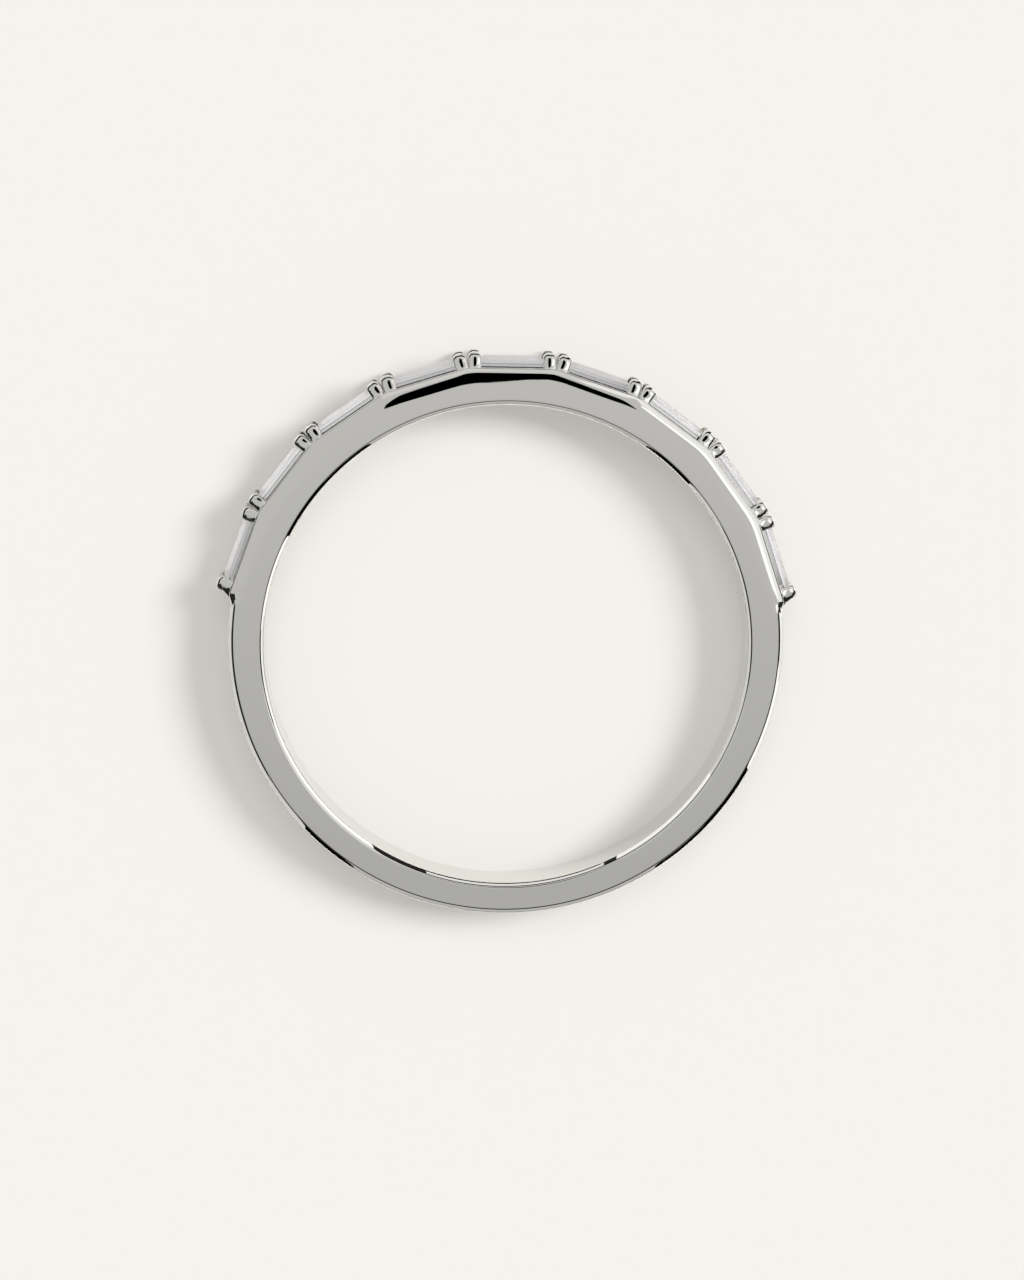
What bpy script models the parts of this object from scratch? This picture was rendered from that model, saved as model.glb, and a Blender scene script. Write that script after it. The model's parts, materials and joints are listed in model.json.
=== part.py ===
"""Baguette band: a polished white metal ring with a row of step-cut baguette stones set end to end.

The ring lies on its side. +Z is the bore's axis and +Y points to the middle stone. The metal is one casting:
a shank that thins towards the palm, a deck with one straight facet under each stone, and four prongs to a
stone. Each stone is a piece of its own and sits in a pocket cut to its pavilion. Units are metres.
"""

import math

import bmesh
import bpy
from mathutils import Matrix, Vector

MM = 0.001

# The band
BORE_RADIUS = 8.675 * MM  # a 17.35 mm finger hole
BAND_WIDTH = 2.0 * MM
SHANK_RADIUS = 9.935 * MM  # outside of the shank, a circle of its own
SHANK_RISE = 0.13 * MM  # that circle's centre lies this far from the bore's axis, towards the stones
RIM_ROUND = 0.13 * MM  # rounding of the bore's two rims and of the shank's

# The row of stones
STONE_COUNT = 9
STONE_PITCH = math.radians(17.7)
DECK_APOTHEM = 9.97 * MM  # bore's axis to the flat facet under a stone
SHOULDER_REACH = 0.23 * MM  # along the row the flat side rolls over to the deck in this distance outwards
SHOULDER_DROP = 0.06 * MM  # and in this distance across the band
TABLE_APOTHEM = 10.37 * MM
STONE_LENGTH = 2.5 * MM
STONE_WIDTH = 1.25 * MM
SEAT_GAP = 0.03 * MM

# A stone's outline from the table down: depth below the table, and how far the outline is drawn in there
STONE_LEVELS = (
    (0.000 * MM, 0.260 * MM),  # table
    (0.075 * MM, 0.120 * MM),  # crown step
    (0.170 * MM, 0.000 * MM),  # top of the girdle
    (0.210 * MM, 0.000 * MM),  # foot of the girdle
    (0.400 * MM, 0.130 * MM),  # first pavilion step
    (0.580 * MM, 0.330 * MM),  # second pavilion step
    (0.750 * MM, 0.625 * MM),  # keel
)
GIRDLE_DEPTH = STONE_LEVELS[2][0]
KEEL_DEPTH = STONE_LEVELS[-1][0]

# A prong, in the frame of its stone: X along the band, Y outwards, Z across the band
PRONG_REACH = 10.51 * MM  # bore's axis to its tip, along Y
PRONG_ROOT = 0.32 * MM  # how deep it stands in the deck
PRONG_ALONG = 1.325 * MM  # stone's middle to prong's middle
PRONG_WIDTH = 0.50 * MM  # at its foot
PRONG_THICKNESS = 0.44 * MM
PRONG_TAPER = 0.80  # width at the tip over width at the foot
PRONG_ROUND = 0.14 * MM
SHOULDER_FLARE = 0.30 * MM  # the foot of the row's last prongs runs out this far along the shank

# How finely the round walls are cut
SHANK_STEPS = 60
FACET_STEPS = 5
RIM_STEPS = 3
PRONG_STEPS = 3

BORE_AXIS_Y = (SHANK_RADIUS - SHANK_RISE - PRONG_REACH) / 2  # centres the ring's outline on the origin


def clear_scene():
    for obj in list(bpy.data.objects):
        bpy.data.objects.remove(obj, do_unlink=True)


def new_collection(name):
    collection = bpy.data.collections.new(name)
    bpy.context.scene.collection.children.link(collection)
    return collection


def principled(name, colour, metallic, roughness):
    material = bpy.data.materials.new(name)
    material.use_nodes = True
    shader = material.node_tree.nodes["Principled BSDF"]
    shader.inputs["Base Color"].default_value = (*colour, 1.0)
    shader.inputs["Metallic"].default_value = metallic
    shader.inputs["Roughness"].default_value = roughness
    return material


def mesh_object(name, bm, collection):
    """Turns a bmesh into an object, and frees it."""
    bmesh.ops.recalc_face_normals(bm, faces=bm.faces)
    mesh = bpy.data.meshes.new(name)
    bm.to_mesh(mesh)
    bm.free()
    obj = bpy.data.objects.new(name, mesh)
    collection.objects.link(obj)
    return obj


def stone_angles():
    """The turn from +Y to each stone, from the row's right-hand end to its left-hand end."""
    middle = (STONE_COUNT - 1) / 2
    return [(index - middle) * STONE_PITCH for index in range(STONE_COUNT)]


def polar_point(angle, reach, height=0.0):
    return Vector((-reach * math.sin(angle), reach * math.cos(angle), height))


def shank_reach(angle):
    """The distance from the bore's axis to the shank's outside, at an angle from +Y."""
    sideways = SHANK_RISE * math.sin(angle)
    return SHANK_RISE * math.cos(angle) + math.sqrt(SHANK_RADIUS**2 - sideways**2)


def section(reach, rim_reach, rim_drop):
    """The band's cross-section as (distance from the bore's axis, height), once round from the upper bore rim."""
    half = BAND_WIDTH / 2
    turns = [math.pi / 2 * step / RIM_STEPS for step in range(RIM_STEPS + 1)]
    upper = []
    for turn in turns:
        upper.append((BORE_RADIUS + RIM_ROUND * (1 - math.cos(turn)), half - RIM_ROUND * (1 - math.sin(turn))))
    for turn in turns:
        upper.append((reach - rim_reach * (1 - math.sin(turn)), half - rim_drop * (1 - math.cos(turn))))
    return upper + [(distance, -height) for distance, height in reversed(upper)]


def band_sections():
    """(angle from +Y, cross-section) round the band: a straight facet under each stone, then the shank."""
    sections = []
    row_end = STONE_COUNT * STONE_PITCH / 2
    for step in range(STONE_COUNT * FACET_STEPS + 1):
        angle = -row_end + STONE_PITCH * step / FACET_STEPS
        off = STONE_PITCH * ((step % FACET_STEPS) / FACET_STEPS - 0.5)
        sections.append((angle, section(DECK_APOTHEM / math.cos(off), SHOULDER_REACH, SHOULDER_DROP)))
    for step in range(1, SHANK_STEPS):
        angle = row_end + (math.tau - 2 * row_end) * step / SHANK_STEPS
        sections.append((angle, section(shank_reach(angle), RIM_ROUND, RIM_ROUND)))
    return sections


def ring_blank(collection):
    """The band without its prongs: the cross-section carried once round the bore."""
    bm = bmesh.new()
    loops = []
    for angle, corners in band_sections():
        loops.append([bm.verts.new(polar_point(angle, distance, height)) for distance, height in corners])
    for here, there in zip(loops, loops[1:] + loops[:1]):
        for index in range(len(here)):
            bm.faces.new((here[index], here[index - 1], there[index - 1], there[index]))
    return mesh_object("band", bm, collection)


def prong_post(name, side_along, side_across, flare, collection):
    """A rounded post at one corner of a stone. The two sides are -1 or 1, and flare widens the foot."""
    root = DECK_APOTHEM - PRONG_ROOT
    height = PRONG_REACH - root
    outer_side = BAND_WIDTH / 2 - SHOULDER_DROP
    middle = Vector((PRONG_ALONG, root + height / 2, outer_side - PRONG_THICKNESS / 2))
    size = Matrix.Diagonal((PRONG_WIDTH, height, PRONG_THICKNESS, 1))
    bm = bmesh.new()
    bmesh.ops.create_cube(bm, size=1, matrix=Matrix.Translation(middle) @ size)
    for vertex in bm.verts:
        if vertex.co.y > middle.y:
            vertex.co.x = PRONG_ALONG + (vertex.co.x - PRONG_ALONG) * PRONG_TAPER
        elif vertex.co.x > PRONG_ALONG:
            vertex.co.x += flare
        vertex.co.x *= side_along
        vertex.co.z *= side_across
    post = mesh_object(name, bm, collection)
    rounding = post.modifiers.new("rounded post", "BEVEL")
    rounding.width = PRONG_ROUND
    rounding.segments = PRONG_STEPS
    rounding.limit_method = "NONE"
    return post


def baguette(name, grow, collection):
    """A step-cut stone round its own girdle, table towards +Y. grow swells it on every side, for its pocket."""
    bm = bmesh.new()
    for depth, inset in STONE_LEVELS:
        half_length = STONE_LENGTH / 2 - inset + grow
        half_width = STONE_WIDTH / 2 - inset + grow
        swell = grow * (1 - 2 * depth / KEEL_DEPTH)
        for along in (-half_length, half_length):
            for across in sorted({-half_width, half_width}):
                bm.verts.new((along, GIRDLE_DEPTH - depth + swell, across))
    bmesh.ops.convex_hull(bm, input=bm.verts)
    bmesh.ops.dissolve_limit(bm, angle_limit=math.radians(0.5), verts=bm.verts, edges=bm.edges)
    return mesh_object(name, bm, collection)


def place_at_stone(obj, angle, reach, axis):
    """Turns an object from +Y to a stone's own direction, at a distance from the bore's axis."""
    obj.parent = axis
    obj.location = polar_point(angle, reach)
    obj.rotation_euler.z = angle


def as_helper(obj):
    obj.hide_render = True
    obj.display_type = "WIRE"


def boolean(obj, name, operation, operands):
    modifier = obj.modifiers.new(name, "BOOLEAN")
    modifier.operation = operation
    modifier.operand_type = "COLLECTION"
    modifier.collection = operands
    modifier.solver = "EXACT"


def build():
    clear_scene()
    parts = new_collection("baguette band")
    posts = new_collection("prong posts")
    pockets = new_collection("stone pockets")
    metal = principled("polished white metal", (0.83, 0.82, 0.80), 1.0, 0.06)
    crystal = principled("clear stone", (0.96, 0.97, 0.98), 0.0, 0.02)

    axis = bpy.data.objects.new("bore_axis", None)
    axis.location = (0, BORE_AXIS_Y, BAND_WIDTH / 2)
    parts.objects.link(axis)

    band = ring_blank(parts)
    band.parent = axis
    band.data.materials.append(metal)

    for number, angle in enumerate(stone_angles(), start=1):
        stone = baguette(f"baguette_{number}", 0, parts)
        stone.data.materials.append(crystal)
        pocket = baguette(f"pocket_{number}", SEAT_GAP, pockets)
        as_helper(pocket)
        place_at_stone(stone, angle, TABLE_APOTHEM - GIRDLE_DEPTH, axis)
        place_at_stone(pocket, angle, TABLE_APOTHEM - GIRDLE_DEPTH, axis)
        for side_along in (-1, 1):
            ends_the_row = (number, side_along) in ((1, 1), (STONE_COUNT, -1))
            flare = SHOULDER_FLARE if ends_the_row else 0
            for side_across in (-1, 1):
                name = f"post_{number}_{side_along}_{side_across}"
                post = prong_post(name, side_along, side_across, flare, posts)
                as_helper(post)
                place_at_stone(post, angle, 0, axis)

    boolean(band, "prongs", "UNION", posts)
    boolean(band, "stone pockets", "DIFFERENCE", pockets)


build()
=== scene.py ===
# %% [markdown]
# # A baguette band
#
# A white gold ring lies on its side on a pale table. Nine long, step-cut stones follow one another over its
# front half, and four small prongs hold each of them. The lesson models the polished casting, one prong and
# one stone, copies what repeats, and then lights the ring as a jeweller's photographer would: in a bright
# tent, with a few dark gaps that give the polish something to show.

# %% Load the frame
import json
import math

import bmesh
import bpy
from mathutils import Matrix, Vector

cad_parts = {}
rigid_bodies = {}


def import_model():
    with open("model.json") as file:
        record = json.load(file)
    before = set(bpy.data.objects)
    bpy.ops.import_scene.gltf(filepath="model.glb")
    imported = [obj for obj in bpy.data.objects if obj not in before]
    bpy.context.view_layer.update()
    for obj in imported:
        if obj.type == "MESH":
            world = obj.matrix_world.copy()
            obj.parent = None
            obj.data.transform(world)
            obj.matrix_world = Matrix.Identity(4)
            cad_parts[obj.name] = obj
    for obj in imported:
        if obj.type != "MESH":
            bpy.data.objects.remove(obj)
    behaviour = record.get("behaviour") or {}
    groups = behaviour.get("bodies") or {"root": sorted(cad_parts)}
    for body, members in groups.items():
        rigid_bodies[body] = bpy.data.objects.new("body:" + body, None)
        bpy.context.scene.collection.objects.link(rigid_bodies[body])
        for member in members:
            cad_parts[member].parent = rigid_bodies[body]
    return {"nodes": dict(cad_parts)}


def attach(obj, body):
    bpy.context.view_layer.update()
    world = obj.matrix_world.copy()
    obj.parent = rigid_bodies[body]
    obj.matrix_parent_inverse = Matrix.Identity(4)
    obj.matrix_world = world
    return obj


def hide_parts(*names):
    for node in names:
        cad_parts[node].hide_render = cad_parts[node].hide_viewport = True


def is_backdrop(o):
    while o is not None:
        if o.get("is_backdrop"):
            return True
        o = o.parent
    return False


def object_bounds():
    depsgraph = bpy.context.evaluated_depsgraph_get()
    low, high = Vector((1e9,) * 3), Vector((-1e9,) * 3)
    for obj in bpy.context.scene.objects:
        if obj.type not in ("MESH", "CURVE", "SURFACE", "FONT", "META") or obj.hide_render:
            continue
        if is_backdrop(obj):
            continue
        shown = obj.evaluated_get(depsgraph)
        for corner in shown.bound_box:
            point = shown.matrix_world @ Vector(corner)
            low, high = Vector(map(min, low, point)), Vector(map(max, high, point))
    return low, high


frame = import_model()
cad_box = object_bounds()
print("nodes:", sorted(frame["nodes"]))
print("overall, mm:", [round(1000 * side, 2) for side in cad_box[1] - cad_box[0]])

# %% [markdown]
# ## Sizes
#
# At the bench everything is in millimetres, with the bore's axis at the middle of the world, +Z along it
# and +Y towards the middle stone. That keeps the numbers readable and the tiny bevels well clear of
# rounding errors. The finished pieces are scaled to metres and moved to the ring's place in the frame in
# one last step.

# %% Sizes in millimetres
BORE_RADIUS = 8.675
HALF_WIDTH = 1.0
SHANK_RADIUS = 9.935
SHANK_RISE = 0.13

STONE_COUNT = 9
STONE_PITCH = math.radians(17.7)
ROW_END = STONE_COUNT * STONE_PITCH / 2
DECK_APOTHEM = 9.97
TABLE_APOTHEM = 10.37
STONE_LENGTH = 2.5
STONE_WIDTH = 1.25
GIRDLE_DEPTH = 0.24

PRONG_REACH = 10.51
PRONG_ALONG = 1.325
PRONG_THICKNESS = 0.44
PRONG_SIDE = 0.94

BORE_AXIS = Vector((0, (SHANK_RADIUS - SHANK_RISE - PRONG_REACH) / 2, HALF_WIDTH))
MILLIMETRE = 0.001
STONE_TURNS = [(index - (STONE_COUNT - 1) / 2) * STONE_PITCH for index in range(STONE_COUNT)]
print("bore's axis in the frame, mm:", [round(part, 4) for part in BORE_AXIS])


# %% Bench helpers
def deselect_all():
    if bpy.context.mode != "OBJECT":
        bpy.ops.object.mode_set(mode="OBJECT")
    bpy.ops.object.select_all(action="DESELECT")


def pick_up(obj):
    """Makes obj the only selected object, and the active one."""
    deselect_all()
    obj.select_set(True)
    bpy.context.view_layer.objects.active = obj
    return obj


def edit(obj, select="NONE"):
    """Opens obj in edit mode, with everything or nothing selected, and returns its bmesh."""
    pick_up(obj)
    bpy.ops.object.mode_set(mode="EDIT")
    bpy.ops.mesh.select_mode(type="VERT")
    bpy.ops.mesh.select_all(action="SELECT" if select == "ALL" else "DESELECT")
    return bmesh.from_edit_mesh(obj.data)


def select_edges(obj, wanted):
    """In edit mode, selects the edges for which wanted(edge) is true."""
    bpy.ops.mesh.select_all(action="DESELECT")
    bpy.ops.mesh.select_mode(type="EDGE")
    mesh = bmesh.from_edit_mesh(obj.data)
    chosen = [edge for edge in mesh.edges if wanted(edge)]
    for edge in chosen:
        edge.select_set(True)
    mesh.select_flush_mode()
    bmesh.update_edit_mesh(obj.data)
    return len(chosen)


def select_faces(obj, wanted):
    """In edit mode, selects the faces for which wanted(face) is true."""
    bpy.ops.mesh.select_all(action="DESELECT")
    bpy.ops.mesh.select_mode(type="FACE")
    mesh = bmesh.from_edit_mesh(obj.data)
    chosen = [face for face in mesh.faces if wanted(face)]
    for face in chosen:
        face.select_set(True)
    mesh.select_flush_mode()
    bmesh.update_edit_mesh(obj.data)
    return len(chosen)


def leave_edit():
    bpy.ops.object.mode_set(mode="OBJECT")


def apply_modifier(obj, kind, **settings):
    """Adds a modifier with these settings and applies it."""
    pick_up(obj)
    modifier = obj.modifiers.new(kind.title(), kind)
    for name, value in settings.items():
        setattr(modifier, name, value)
    bpy.ops.object.modifier_apply(modifier=modifier.name)


def clean_normals(obj):
    edit(obj, select="ALL")
    bpy.ops.mesh.remove_doubles(threshold=1e-5)
    bpy.ops.mesh.normals_make_consistent(inside=False)
    leave_edit()


def copy_of(obj, name):
    """A copy of obj with a mesh of its own."""
    pick_up(obj)
    bpy.ops.object.duplicate(linked=False)
    twin = bpy.context.view_layer.objects.active
    twin.name = name
    twin.data.name = name
    return twin


def turn_about_bore(obj, angle):
    """Turns obj about the bore's axis, anticlockwise seen from +Z, and applies it to the mesh."""
    pick_up(obj)
    obj.matrix_world = Matrix.Rotation(angle, 4, "Z")
    bpy.ops.object.transform_apply(location=True, rotation=True, scale=True)


def to_frame(obj):
    """Takes a piece from the bench to its place in the frame, in metres."""
    pick_up(obj)
    obj.matrix_world = Matrix.Scale(MILLIMETRE, 4) @ Matrix.Translation(BORE_AXIS)
    bpy.ops.object.transform_apply(location=True, rotation=True, scale=True)


def triangles(obj):
    return sum(len(polygon.vertices) - 2 for polygon in obj.data.polygons)


# %% [markdown]
# ## The casting's outline
#
# Seen from the side, the ring is round at the shank and a polygon along the row: one straight facet for
# each stone. The corners between the facets are softened by polishing, more on the flat side's edge than on
# the deck itself. The two outlines meet in a short ramp just past the last stones.

# %% Outline of the casting
RAMP = math.radians(2.6)


def shank_reach(angle):
    sideways = SHANK_RISE * math.sin(angle)
    return SHANK_RISE * math.cos(angle) + math.sqrt(SHANK_RADIUS**2 - sideways**2)


def facet_reach(angle, apothem, corner_round):
    """Distance from the bore's axis to a facet at this angle from +Y, with its corners rounded off."""
    row_angle = max(-ROW_END, min(ROW_END, angle))
    off = abs((row_angle + ROW_END) % STONE_PITCH - STONE_PITCH / 2)
    half = STONE_PITCH / 2
    straight = apothem * math.tan(half) - corner_round * math.tan(half)
    if apothem * math.tan(off) <= straight:
        return apothem / math.cos(off)
    middle = (apothem - corner_round) / math.cos(half)
    from_corner = half - off
    return middle * math.cos(from_corner) + math.sqrt(corner_round**2 - (middle * math.sin(from_corner)) ** 2)


def row_share(angle):
    """1 along the row, 0 on the shank, and a smooth ramp between."""
    past = (abs(angle) - ROW_END) / RAMP
    past = max(0.0, min(1.0, past))
    return 1 - past * past * (3 - 2 * past)


FACET_STEPS = 20
RAMP_STEPS = 10
SHANK_STEPS = 240
station_angles = [-ROW_END + STONE_PITCH * step / FACET_STEPS for step in range(STONE_COUNT * FACET_STEPS)]
station_angles += [ROW_END + RAMP * step / RAMP_STEPS for step in range(RAMP_STEPS)]
shank_turn = math.tau - 2 * (ROW_END + RAMP)
station_angles += [ROW_END + RAMP + shank_turn * step / SHANK_STEPS for step in range(SHANK_STEPS)]
station_angles += [math.tau - ROW_END - RAMP * (1 - step / RAMP_STEPS) for step in range(RAMP_STEPS)]
print("stations round the ring:", len(station_angles))

# %% [markdown]
# ## The casting's cross-section
#
# The section runs from the middle of the bore wall, over the flat side, to the middle of the deck. The
# bore's rim and the shank's rim carry a narrow, flat bevel, and a second, still narrower facet lies between
# the bevel and the wall. No edge on a polished ring is sharp, so each corner is broken by a small arc.
# Those arcs and facets draw the fine light and dark lines along both rims. Along the row the flat side
# first rolls off very gently, like a pillow, and then falls over a narrow shoulder to the deck. That roll
# draws the dark streak beside the stones.


# %% Cross-section of the casting
def broken_corner(before, corner, after, radius, steps):
    """An arc of this radius in place of a corner, as steps + 1 points in order."""
    back = (Vector(before) - Vector(corner)).normalized()
    ahead = (Vector(after) - Vector(corner)).normalized()
    half_angle = back.angle(ahead) / 2
    middle = Vector(corner) + (back + ahead).normalized() * radius / math.sin(half_angle)
    first = (Vector(corner) + back * radius / math.tan(half_angle) - middle).normalized()
    last = (Vector(corner) + ahead * radius / math.tan(half_angle) - middle).normalized()
    return [tuple(middle + first.slerp(last, step / steps) * radius) for step in range(steps + 1)]


EDGE_BREAK = 0.055
FACE_BREAK = 0.150
wall_end = (BORE_RADIUS, HALF_WIDTH - 0.1185)
bevel_start = (BORE_RADIUS + 0.038, HALF_WIDTH - 0.0785)
bevel_end = (BORE_RADIUS + 0.135, HALF_WIDTH)
bore_rim = [(BORE_RADIUS, height) for height in (0.0, 0.40, 0.70, 0.82)]
bore_rim += broken_corner((BORE_RADIUS, 0), wall_end, bevel_start, 0.02, 3)
bore_rim += broken_corner(wall_end, bevel_start, bevel_end, 0.06, 2)
bore_rim += broken_corner(bevel_start, bevel_end, (9.5, HALF_WIDTH), FACE_BREAK, 5)
bore_rim.append((BORE_RADIUS + 0.24, HALF_WIDTH))

# Both outlines below are (out from the section's outer edge, drop from the flat side), as many points each.
# On the shank: a hardly visible roll, the bevel, and the outside wall.
shank_profile = [(-0.62, 0.0), (-0.46, 0.0003), (-0.32, 0.0012), (-0.25, 0.0021), (-0.215, 0.0027)]
roll_end = (-0.145, 0.0032)
facet_start = (-0.045, 0.0686)
facet_end = (0, 0.1019)
shank_profile += broken_corner((-0.5, 0.0032), roll_end, facet_start, 0.20, 4)
shank_profile += broken_corner(roll_end, facet_start, facet_end, 0.04, 1)
shank_profile += broken_corner(facet_start, facet_end, (0, 1), EDGE_BREAK, 3)
shank_profile.append((0, 0.20))
# Beside the row: the pillow, the straight shoulder, and its broken edge.
PILLOW = 0.41
PILLOW_STEPS = 9
SHOULDER = 0.170
SHOULDER_BREAK = 0.030
PILLOW_SLOPE = math.tan(math.radians(8.5))
SHOULDER_SLOPE = math.tan(math.radians(15))
row_profile = []
for step in range(PILLOW_STEPS + 1):
    run = PILLOW * step / PILLOW_STEPS
    row_profile.append((run - PILLOW - SHOULDER, PILLOW_SLOPE * run * run / (2 * PILLOW)))
pillow_drop = PILLOW_SLOPE * PILLOW / 2
shoulder_drop = pillow_drop + SHOULDER_SLOPE * SHOULDER
row_profile.append((0.006 - SHOULDER, pillow_drop + 0.0013))
shoulder_end = (-0.06, shoulder_drop - 0.06 * SHOULDER_SLOPE)
row_profile.append(shoulder_end)
row_profile += broken_corner(shoulder_end, (0, shoulder_drop), (0, 1), SHOULDER_BREAK, 3)
row_profile.append((0, shoulder_drop + 0.06))

# The shoulder's inner side follows a rounder outline than the deck's edge, and a short run blends the two.
DECK_CORNER = 1.0
SOFT_CORNER = 3.0
SOFT_INSET = 0.23
SOFT_RUN = 0.20


def half_section(angle):
    """Half a section as (distance from the bore's axis, height), from the bore wall to the deck's middle."""
    if angle > math.pi:
        angle -= math.tau
    share = row_share(angle)
    shank = shank_reach(angle)
    edge = share * facet_reach(angle, DECK_APOTHEM, DECK_CORNER) + (1 - share) * shank
    soft_facet = facet_reach(angle, DECK_APOTHEM - SOFT_INSET, SOFT_CORNER) + SOFT_INSET
    soft_edge = share * soft_facet + (1 - share) * shank
    points = list(bore_rim)
    for (row_out, row_drop), (shank_out, shank_drop) in zip(row_profile, shank_profile, strict=True):
        out = share * row_out + (1 - share) * shank_out
        drop = share * row_drop + (1 - share) * shank_drop
        softness = min(1.0, max(0.0, -out / SOFT_RUN))
        points.append((softness * soft_edge + (1 - softness) * edge + out, HALF_WIDTH - drop))
    points += [(edge, 0.62), (edge, 0.3), (edge, 0.0)]
    return points


sections = [half_section(angle) for angle in station_angles]
loop_count = len(sections[0])
print("loops in half a section:", loop_count)

# %% [markdown]
# ## Modelling the casting
#
# The ring could be spun from its section, but a spin is round and this outline is not. So the first loop is
# added as a circle on the bore wall. Each next loop is extruded from the one before and pulled onto its
# place in the section. That gives the upper half of the ring as one clean skin, and a mirror across the
# middle plane closes it.

# %% Extrude the casting loop by loop
deselect_all()
bpy.ops.mesh.primitive_circle_add(vertices=len(station_angles), radius=BORE_RADIUS, fill_type="NOTHING")
casting = bpy.context.view_layer.objects.active
casting.name = "casting"
edit(casting, select="ALL")
skin = bmesh.from_edit_mesh(casting.data)
skin.verts.ensure_lookup_table()
for loop_index in range(loop_count):
    if loop_index:
        bpy.ops.mesh.extrude_region_move()
        skin = bmesh.from_edit_mesh(casting.data)
    moving = [vertex for vertex in skin.verts if vertex.select]
    for vertex, angle, section in zip(moving, station_angles, sections):
        out, height = section[loop_index]
        vertex.co = (-out * math.sin(angle), out * math.cos(angle), height)
    bmesh.update_edit_mesh(casting.data)
leave_edit()
apply_modifier(casting, "MIRROR", use_axis=(False, False, True), merge_threshold=1e-5)
clean_normals(casting)
print("casting:", triangles(casting), "triangles")

# %% [markdown]
# ## A prong
#
# A prong is a short post with a round tip, bent just over the stone's corner. One post is modelled at the
# corner on the right of the middle stone and on the upper side. It starts as a block. Its two tip edges are
# rolled over into an arch. Its front is cut into a fine grid and shaped: it leaves the shoulder at
# the shoulder's slope, stands up straighter, leans back at the tip, and is a little crowned across. Last,
# the edges are broken. The outermost prongs of the row also lean out into the shank with a long concave
# foot.

# %% Model the two kinds of prong
PRONG_FOOT = 9.60
PRONG_WIDTH = 0.47
TIP_ROUND = 0.19
FRONT_ROWS = 11
FRONT_COLUMNS = 6
FRONT_CROWN = 0.6
FLARE_TOP = 10.36
FLARE_HEIGHT = 0.5
FLARE_CURVE = 1.7
PRONG_EDGE_BREAK = 0.075
# The front's outline: distance from the bore's axis, height above the middle plane
FRONT_LEVELS = (
    (9.60, 0.932), (9.93, 0.931), (9.97, 0.922), (10.03, 0.908), (10.13, 0.898),
    (10.25, 0.888), (10.36, 0.880), (10.41, 0.868), (10.46, 0.846), (10.51, 0.812),
)


def front_height(out):
    """How high a prong's front stands above the middle plane at this distance from the bore's axis."""
    for (low, low_height), (high, high_height) in zip(FRONT_LEVELS, FRONT_LEVELS[1:]):
        if out <= high:
            return low_height + (high_height - low_height) * (out - low) / (high - low)
    return FRONT_LEVELS[-1][1]


def runs_along_tip(edge):
    """True for a block's two tip edges that run from the front to the stone's side."""
    one, other = edge.verts
    return min(one.co.y, other.co.y) > 10.4 and abs(one.co.z - other.co.z) > 0.1


def prong(name, foot_run):
    """A prong at the middle stone's right-hand end, upper side. foot_run is how far its foot runs out."""
    height = PRONG_REACH - PRONG_FOOT
    middle = Vector((PRONG_ALONG, PRONG_FOOT + height / 2, PRONG_SIDE - PRONG_THICKNESS / 2))
    deselect_all()
    bpy.ops.mesh.primitive_cube_add(size=1, location=middle, scale=(PRONG_WIDTH, height, PRONG_THICKNESS))
    post = bpy.context.view_layer.objects.active
    post.name = name
    bpy.ops.object.transform_apply(location=True, rotation=True, scale=True)
    edit(post)
    select_edges(post, runs_along_tip)
    bpy.ops.mesh.bevel(offset=TIP_ROUND, offset_type="OFFSET", segments=6, affect="EDGES", profile=0.5)
    for cut in range(1, FRONT_ROWS):
        out = PRONG_FOOT + height * cut / FRONT_ROWS
        bpy.ops.mesh.select_all(action="SELECT")
        bpy.ops.mesh.bisect(plane_co=(0, out, 0), plane_no=(0, 1, 0))
    for cut in range(1, FRONT_COLUMNS):
        along = PRONG_ALONG + PRONG_WIDTH * (cut / FRONT_COLUMNS - 0.5)
        bpy.ops.mesh.select_all(action="SELECT")
        bpy.ops.mesh.bisect(plane_co=(along, 0, 0), plane_no=(1, 0, 0))
    mesh = bmesh.from_edit_mesh(post.data)
    for vertex in mesh.verts:
        across = vertex.co.x - PRONG_ALONG
        if vertex.co.z > PRONG_SIDE - 0.01:
            vertex.co.z = front_height(vertex.co.y) - FRONT_CROWN * across * across
        if across > 0 and vertex.co.y < FLARE_TOP:
            flare = ((FLARE_TOP - vertex.co.y) / FLARE_HEIGHT) ** FLARE_CURVE
            vertex.co.x += foot_run * (across / (PRONG_WIDTH / 2)) * flare
    bmesh.update_edit_mesh(post.data)
    leave_edit()
    sharp = math.radians(50)
    apply_modifier(post, "BEVEL", width=PRONG_EDGE_BREAK, segments=3, limit_method="ANGLE", angle_limit=sharp)
    clean_normals(post)
    return post


END_FOOT_RUN = 0.20
inner_prong = prong("inner_prong", 0)
end_prong = prong("end_prong", END_FOOT_RUN)
print("prongs:", triangles(inner_prong), "and", triangles(end_prong), "triangles")

# %% [markdown]
# ## A stone
#
# A baguette is cut in steps: long narrow facets that run parallel to the sides, a table on top, a thin
# girdle, and a pavilion that closes in a keel. It starts as a flat block at the girdle. The crown is
# extruded up from the block's top face and drawn in step by step, the pavilion goes down the same way, and
# the last face is pinched to a keel.

# %% Model the stone
# Each step is (rise or drop, inset), counted from the girdle.
CROWN_STEPS = ((0.090, 0.062), (0.080, 0.095), (0.070, 0.120))
PAVILION_STEPS = ((0.130, 0.084), (0.090, 0.090), (0.070, 0.105), (0.060, 0.125))
KEEL_DROP = 0.120
GIRDLE = 0.04
SEAT_CLEARANCE = 0.008


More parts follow.
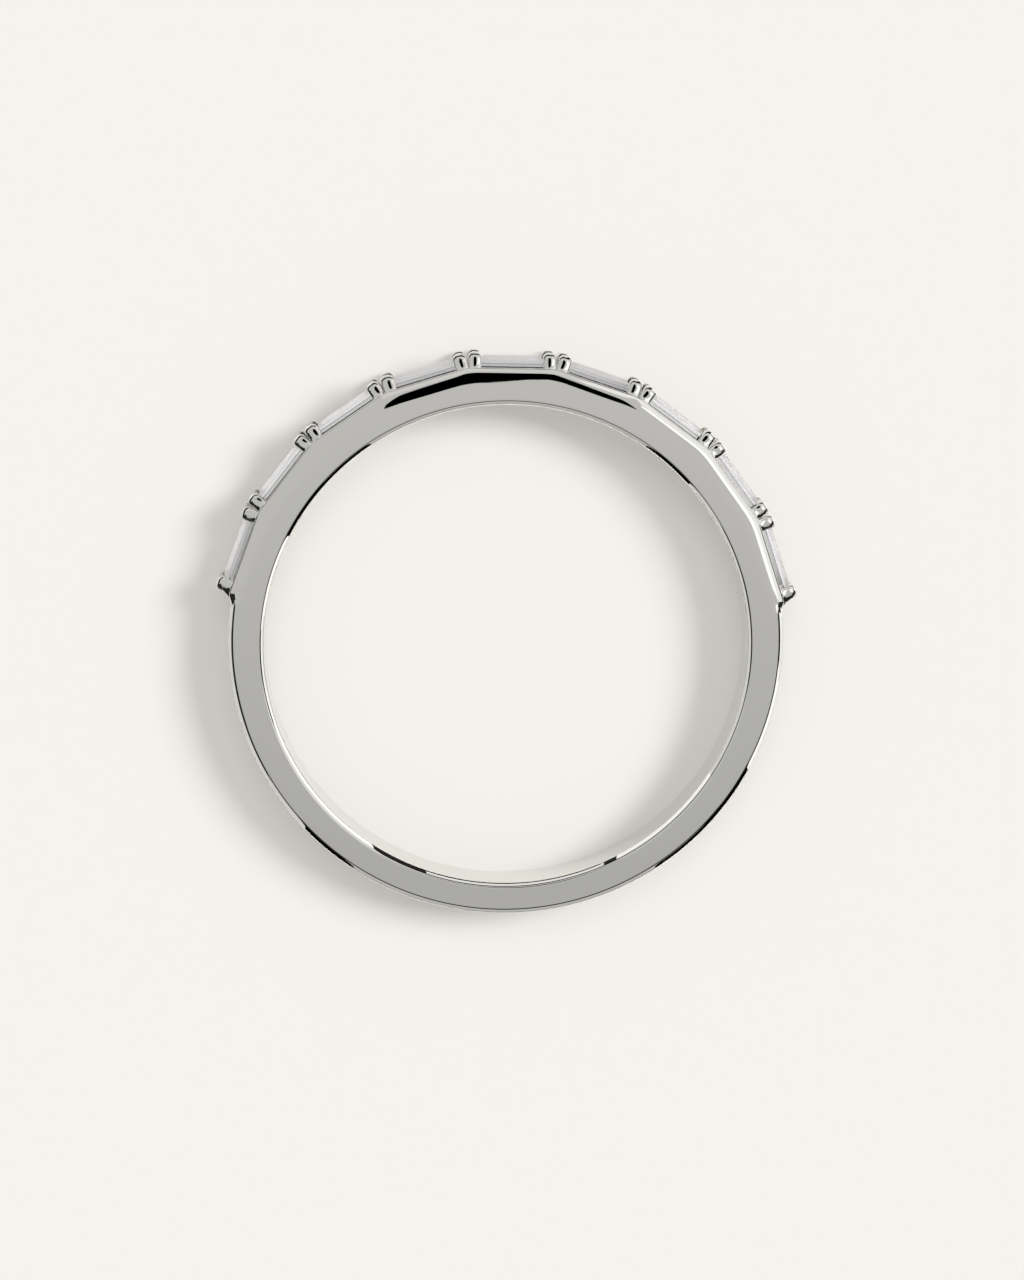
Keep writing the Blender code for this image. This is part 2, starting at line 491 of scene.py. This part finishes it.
def draw_in(gem, inset):
    """Moves the selected outline in by inset on all four sides."""
    mesh = bmesh.from_edit_mesh(gem.data)
    half_length = max(v.co.x for v in mesh.verts if v.select)
    half_width = max(v.co.z for v in mesh.verts if v.select)
    share_length = (half_length - inset) / half_length
    share_width = (half_width - inset) / half_width
    bpy.ops.transform.resize(value=(share_length, 1, share_width), center_override=(0, 0, 0))


def stone(name, grow):
    """A baguette in the middle of the row. grow swells it all round, to cut its seat."""
    girdle_top = TABLE_APOTHEM - GIRDLE_DEPTH
    deselect_all()
    bpy.ops.mesh.primitive_cube_add(
        size=1,
        location=(0, girdle_top - GIRDLE / 2, 0),
        scale=(STONE_LENGTH + 2 * grow, GIRDLE + 2 * grow, STONE_WIDTH + 2 * grow),
    )
    gem = bpy.context.view_layer.objects.active
    gem.name = name
    bpy.ops.object.transform_apply(location=True, rotation=True, scale=True)
    edit(gem)
    for steps, side in ((CROWN_STEPS, 1), (PAVILION_STEPS, -1)):
        for rise, inset in steps:
            select_faces(gem, lambda face: face.normal.y * side > 0.9)
            bpy.ops.mesh.extrude_region_move(TRANSFORM_OT_translate={"value": (0, side * rise, 0)})
            draw_in(gem, inset)
    select_faces(gem, lambda face: face.normal.y < -0.9)
    bpy.ops.mesh.extrude_region_move(TRANSFORM_OT_translate={"value": (0, -KEEL_DROP, 0)})
    half_width = max(v.co.z for v in bmesh.from_edit_mesh(gem.data).verts if v.select)
    draw_in(gem, half_width)
    bpy.ops.mesh.select_all(action="SELECT")
    bpy.ops.mesh.remove_doubles(threshold=1e-4)
    bpy.ops.mesh.normals_make_consistent(inside=False)
    leave_edit()
    return gem


baguette = stone("baguette", 0)
seat = stone("seat", SEAT_CLEARANCE)
print("stone:", triangles(baguette), "triangles,", len(baguette.data.polygons), "facets")

# %% [markdown]
# ## Setting the row
#
# The prong is mirrored to the four corners of its stone and the set of four is turned to each stone's
# place. At the two ends of the row the outer pair is the one with the long foot. All of them are then fused
# with the casting, and a slightly swollen stone cuts each seat, through the deck and the insides of the
# prongs alike.

# %% Copy the prongs round the row and fuse them
posts = bpy.data.collections.new("posts")
seats = bpy.data.collections.new("seats")
bpy.context.scene.collection.children.link(posts)
bpy.context.scene.collection.children.link(seats)


def move_to(obj, collection):
    for old in list(obj.users_collection):
        old.objects.unlink(obj)
    collection.objects.link(obj)


def mirrored(obj, name, along):
    """A copy of obj on one end of the stone, on both sides of the band."""
    twin = copy_of(obj, name)
    twin.matrix_world = Matrix.Diagonal((along, 1, 1, 1))
    bpy.ops.object.transform_apply(location=True, rotation=True, scale=True)
    apply_modifier(twin, "MIRROR", use_axis=(False, False, True), merge_threshold=1e-5)
    clean_normals(twin)
    return twin


for number, turn in enumerate(STONE_TURNS, start=1):
    for along in (-1, 1):
        ends_the_row = (number, along) in ((1, 1), (STONE_COUNT, -1))
        pair = mirrored(end_prong if ends_the_row else inner_prong, f"post_{number}_{along}", along)
        turn_about_bore(pair, turn)
        move_to(pair, posts)
    cutter = copy_of(seat, f"seat_{number}")
    turn_about_bore(cutter, turn)
    move_to(cutter, seats)

for operation, operands in (("UNION", posts), ("DIFFERENCE", seats)):
    settings = {"operation": operation, "operand_type": "COLLECTION", "collection": operands}
    apply_modifier(casting, "BOOLEAN", solver="EXACT", **settings)
for obj in [*posts.objects, *seats.objects, inner_prong, end_prong, seat]:
    bpy.data.objects.remove(obj)
clean_normals(casting)
pick_up(casting)
bpy.ops.object.shade_smooth_by_angle(angle=math.radians(32))
print("casting with prongs:", triangles(casting), "triangles")

# %% Copy the stone to its nine seats
gems = []
for number, turn in enumerate(STONE_TURNS, start=1):
    gem = copy_of(baguette, f"cut_stone_{number}")
    turn_about_bore(gem, turn)
    to_frame(gem)
    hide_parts(f"baguette_{number}")
    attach(gem, "root")
    gems.append(gem)
bpy.data.objects.remove(baguette)
to_frame(casting)
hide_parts("band")
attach(casting, "root")
print("stones:", len(gems))

# %% [markdown]
# ## White gold
#
# Polished white gold is a mirror with a faintly warm grey tint. Under a loupe it isn't perfect: the buffing
# wheel leaves a haze that comes and goes over about a millimetre. A noise on the roughness gives that haze.


# %% Finish of the metal
def new_material(name):
    material = bpy.data.materials.new(name)
    material.use_nodes = True
    return material, material.node_tree.nodes, material.node_tree.links


white_gold, nodes, links = new_material("white_gold")
shader = nodes["Principled BSDF"]
shader.inputs["Base Color"].default_value = (0.86, 0.855, 0.83, 1)
shader.inputs["Metallic"].default_value = 1.0
place = nodes.new("ShaderNodeTexCoord")
haze = nodes.new("ShaderNodeTexNoise")
haze.inputs["Scale"].default_value = 900
haze.inputs["Detail"].default_value = 3
links.new(place.outputs["Object"], haze.inputs["Vector"])
span = nodes.new("ShaderNodeMapRange")
span.inputs["To Min"].default_value = 0.010
span.inputs["To Max"].default_value = 0.035
links.new(haze.outputs["Fac"], span.inputs["Value"])
links.new(span.outputs["Result"], shader.inputs["Roughness"])
casting.data.materials.clear()
casting.data.materials.append(white_gold)

# %% [markdown]
# ## The stones' finish
#
# The stones are clear and strongly refracting, so most of what they show is light from the tent, bent and
# returned by the pavilion's steps. Glass with a high index does part of that. The many small returns inside
# a real stone also act like a soft mirror, so a gloss is blended in. A breath of lilac keeps them cooler
# than the metal.

# %% Finish of the stones
crystal, nodes, links = new_material("clear_crystal")
shader = nodes["Principled BSDF"]
shader.inputs["Base Color"].default_value = (0.99, 0.99, 1.0, 1)
shader.inputs["Roughness"].default_value = 0.0
shader.inputs["IOR"].default_value = 2.2
shader.inputs["Transmission Weight"].default_value = 1.0
gleam = nodes.new("ShaderNodeBsdfAnisotropic")
gleam.inputs["Color"].default_value = (0.97, 0.965, 1.0, 1)
gleam.inputs["Roughness"].default_value = 0.08
blend = nodes.new("ShaderNodeMixShader")
blend.inputs["Fac"].default_value = 0.55
links.new(shader.outputs["BSDF"], blend.inputs[1])
links.new(gleam.outputs["BSDF"], blend.inputs[2])
links.new(blend.outputs["Shader"], nodes["Material Output"].inputs["Surface"])
for gem in gems:
    gem.data.materials.clear()
    gem.data.materials.append(crystal)

# %% [markdown]
# ## Camera
#
# The photograph looks almost straight down. Part of the bore wall shows at the bottom and at the right, so
# the camera leans nine and a half degrees towards the stones, and it stands near enough for the lower rim
# to look smaller. The ring is turned one degree clockwise in the picture, which is the camera's roll.

# %% Camera
LEAN = math.radians(9.5)
LEAN_TOWARDS = math.radians(104.9)
ROLL = math.radians(1.18)
DISTANCE = 0.110
PIXELS_PER_METRE = 27950
FRAME_HEIGHT = 1280 / PIXELS_PER_METRE
AIM_RIGHT = 0.000190
AIM_UP = 0.000262

back = Vector(
    (
        math.sin(LEAN) * math.cos(LEAN_TOWARDS),
        math.sin(LEAN) * math.sin(LEAN_TOWARDS),
        math.cos(LEAN),
    )
)
up_in_picture = Vector((-math.sin(ROLL), math.cos(ROLL), 0))
right = up_in_picture.cross(back).normalized()
up = back.cross(right)
near_centre = Vector((0, BORE_AXIS.y, 2 * HALF_WIDTH)) * MILLIMETRE
aim = near_centre + right * AIM_RIGHT + up * AIM_UP
deselect_all()
bpy.ops.object.camera_add()
camera = bpy.context.view_layer.objects.active
camera.data.lens = camera.data.sensor_width * DISTANCE / FRAME_HEIGHT
camera.data.clip_start = 0.005
camera.data.clip_end = 5
turned = Matrix((right, up, back)).transposed().to_4x4()
camera.matrix_world = Matrix.Translation(aim + back * DISTANCE) @ turned
bpy.context.scene.camera = camera
print("lens, mm:", round(camera.data.lens, 1))

# %% [markdown]
# ## Table and light
#
# The table is one pale, warm sheet. A large soft key light stands to the right and a little behind the
# ring, which puts the soft shadow to the left and inside the ring on the right. A weak light behind the
# ring adds the short shadow in front of it, and a light overhead fills in.
#
# Polished metal shows its surroundings, so those are built with care. A grey tent goes all the way round.
# Light and dark sheets hang in it, each between two azimuths and two elevations, and each of them draws one
# line or patch on the rims, the prongs or the stones. Two level flags hang above the ring: the black one
# draws the streak on the flat side, and the bright one draws the white seam beside the stones on the right.
# Only mirrors and glass see all this.

# %% Table
deselect_all()
bpy.ops.mesh.primitive_plane_add(size=4)
table = bpy.context.view_layer.objects.active
table.name = "table"
paper, nodes, links = new_material("pale_paper")
nodes["Principled BSDF"].inputs["Base Color"].default_value = (0.93, 0.908, 0.86, 1)
nodes["Principled BSDF"].inputs["Roughness"].default_value = 0.9
nodes["Principled BSDF"].inputs["Specular IOR Level"].default_value = 0.0
table.data.materials.append(paper)
table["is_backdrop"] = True


# %% Lamps
def direction(azimuth, elevation):
    a, e = math.radians(azimuth), math.radians(elevation)
    return Vector((math.cos(a) * math.cos(e), math.sin(a) * math.cos(e), math.sin(e)))


def lamp(name, azimuth, elevation, energy, width, shadow):
    """A far lamp, width degrees across. Polished metal shows the tent instead of it."""
    deselect_all()
    bpy.ops.object.light_add(type="SUN")
    light = bpy.context.view_layer.objects.active
    light.name = name
    light.data.energy = energy
    light.data.angle = math.radians(width)
    light.data.use_shadow = shadow
    towards = direction(azimuth, elevation)
    light.matrix_world = Matrix.Translation(towards) @ towards.to_track_quat("Z", "Y").to_matrix().to_4x4()
    light.visible_glossy = False
    light.visible_transmission = False


world = bpy.data.worlds.new("room")
bpy.context.scene.world = world
world.use_nodes = True
world.node_tree.nodes["Background"].inputs["Color"].default_value = (1, 0.99, 0.97, 1)
world.node_tree.nodes["Background"].inputs["Strength"].default_value = 0.12
lamp("key", 22, 41, 1.6, 24, True)
lamp("fill", 90, 89, 1.42, 5, False)
lamp("back", 95, 60, 0.30, 30, True)
bpy.context.scene.cycles.caustics_reflective = False


# %% Tent
def glowing(name, glow):
    surface, nodes, links = new_material(name)
    nodes.clear()
    light = nodes.new("ShaderNodeEmission")
    light.inputs["Color"].default_value = (1, 0.992, 0.972, 1)
    light.inputs["Strength"].default_value = glow
    out = nodes.new("ShaderNodeOutputMaterial")
    links.new(light.outputs["Emission"], out.inputs["Surface"])
    return surface


def hide_from_camera(obj):
    """Leaves obj to mirrors and glass alone, and makes it a part of the stage."""
    obj.visible_camera = False
    obj.visible_diffuse = False
    obj.visible_shadow = False
    obj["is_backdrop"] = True


def sheet(name, azimuths, elevations, glow, reach):
    """A curved sheet between two azimuths and two elevations, which only polished surfaces see."""
    deselect_all()
    bpy.ops.mesh.primitive_grid_add(x_subdivisions=24, y_subdivisions=8, size=1)
    cloth = bpy.context.view_layer.objects.active
    cloth.name = name
    for vertex in cloth.data.vertices:
        azimuth = azimuths[0] + (azimuths[1] - azimuths[0]) * (vertex.co.x + 0.5)
        elevation = elevations[0] + (elevations[1] - elevations[0]) * (vertex.co.y + 0.5)
        vertex.co = direction(azimuth, elevation) * reach
    cloth.data.materials.append(glowing(name, glow))
    hide_from_camera(cloth)
    return cloth


def flag(name, outline, glow):
    """A level sheet of this outline above the ring, which only polished surfaces see."""
    deselect_all()
    bpy.ops.mesh.primitive_circle_add(vertices=len(outline), radius=1, fill_type="NGON")
    plate = bpy.context.view_layer.objects.active
    plate.name = name
    for vertex, (x, y) in zip(plate.data.vertices, outline):
        vertex.co = (Vector((x, y, FLAG_HEIGHT)) + BORE_AXIS) * MILLIMETRE
    plate.data.materials.append(glowing(name, glow))
    hide_from_camera(plate)


# The flags' height and outlines, in millimetres from the bore's axis and the ring's middle plane
FLAG_HEIGHT = 300
STREAK = (
    (-8, -5), (0, -3), (5, -5), (9, -3), (11.5, 11), (14.5, 28), (20, 32), (32, 27), (36, 19), (40.4, 18),
    (44, 17.5), (48, 18.5), (51, 22), (50.5, 32), (49, 42), (47.5, 50), (46, 61), (44, 66), (38, 80),
    (20, 95), (0, 100), (-16, 90), (-23, 70), (-25, 55), (-27, 40), (-27, 24), (-22, 12), (-16, 2),
)
SEAM = (
    (70, 49), (78, 43), (88, 28), (98, 13), (106, -3), (113, -19), (150, -30), (160, 0), (150, 30), (125, 55),
    (96, 72), (78, 62),
)
# Each row is a sheet: name, azimuths, elevations, glow, distance in metres
SHEETS = (
    ("bright_right", (-8, 62), (53, 64), 0.93, 0.42),
    ("bright_back", (62, 126), (55, 68), 0.68, 0.42),
    ("dark_ring_front", (222, 311), (44, 64), 0.05, 0.44),
    ("dark_ring_left", (188, 222), (29, 67), 0.02, 0.43),
    ("dark_ring_right", (311, 352), (38, 60), 0.02, 0.43),
    ("dark_ring_corner", (-14, 8), (24, 50), 0.02, 0.415),
    ("dark_ring_back", (50, 190), (32, 53), 0.02, 0.41),
    ("white_right", (-34, 50), (3, 34), 1.2, 0.45),
    ("grey_right", (-16, 1), (3, 17), 0.95, 0.44),
    ("dark_back_right", (50, 66), (-3, 32), 0.02, 0.45),
    ("white_back", (66, 117), (13, 36), 0.88, 0.45),
    ("dark_back_left", (117, 121), (-3, 36), 0.02, 0.45),
    ("dark_foot_back", (60, 116), (-4, 13), 0.02, 0.44),
    ("white_back_left", (121, 156), (3, 36), 1.05, 0.45),
    ("white_left", (156, 232), (3, 32), 0.72, 0.45),
    ("white_front", (244, 302), (13, 40), 0.55, 0.45),
    ("dark_gap_left", (232, 244), (-2, 44), 0.0, 0.43),
    ("dark_gap_right", (301, 326), (-2, 40), 0.0, 0.43),
    ("dark_foot_front", (241, 302), (-3, 6), 0.12, 0.44),
)

# The tent itself, a little darker at the front
TENT_REACH = 0.60
tent = sheet("tent", (0, 360), (-6, 90), 0.57, TENT_REACH)
nodes, links = tent.data.materials[0].node_tree.nodes, tent.data.materials[0].node_tree.links
place = nodes.new("ShaderNodeTexCoord")
parts = nodes.new("ShaderNodeSeparateXYZ")
fade = nodes.new("ShaderNodeMapRange")
fade.inputs["From Min"].default_value = -0.25 * TENT_REACH
fade.inputs["From Max"].default_value = -0.07 * TENT_REACH
fade.inputs["To Min"].default_value = 0.47
fade.inputs["To Max"].default_value = 0.57
links.new(place.outputs["Object"], parts.inputs["Vector"])
links.new(parts.outputs["Y"], fade.inputs["Value"])
links.new(fade.outputs["Result"], nodes["Emission"].inputs["Strength"])

flag("lens", STREAK, 0)
flag("seam", SEAM, 1.25)
for values in SHEETS:
    sheet(*values)

# A round wall stands far behind everything, lit in the table's own colour. It shows only from low down.
deselect_all()
bpy.ops.mesh.primitive_cylinder_add(
    vertices=96, radius=1.0, depth=1.2, location=(0, 0, 0.5), end_fill_type="NOTHING"
)
wall = bpy.context.view_layer.objects.active
wall.name = "backdrop"
wall.data.materials.append(glowing("lit_wall", 0.905))
wall.data.materials[0].node_tree.nodes["Emission"].inputs["Color"].default_value = (1, 0.982, 0.921, 1)
wall.visible_diffuse = False
wall.visible_glossy = False
wall.visible_transmission = False
wall.visible_shadow = False
wall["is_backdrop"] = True

bpy.context.scene.view_settings.view_transform = "Standard"

# %% [markdown]
# ## The two boxes
#
# Both boxes, the frame's and the visual model's, are printed side by side. The visual model has to
# stay inside the frame's own box.

# %% Print the two boxes
bpy.context.view_layer.update()
boxes = {"cad": [list(corner) for corner in cad_box], "visual": [list(corner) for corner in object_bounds()]}
for name, corners in boxes.items():
    print(name, "box, mm:", [[round(1000 * part, 3) for part in corner] for corner in corners])
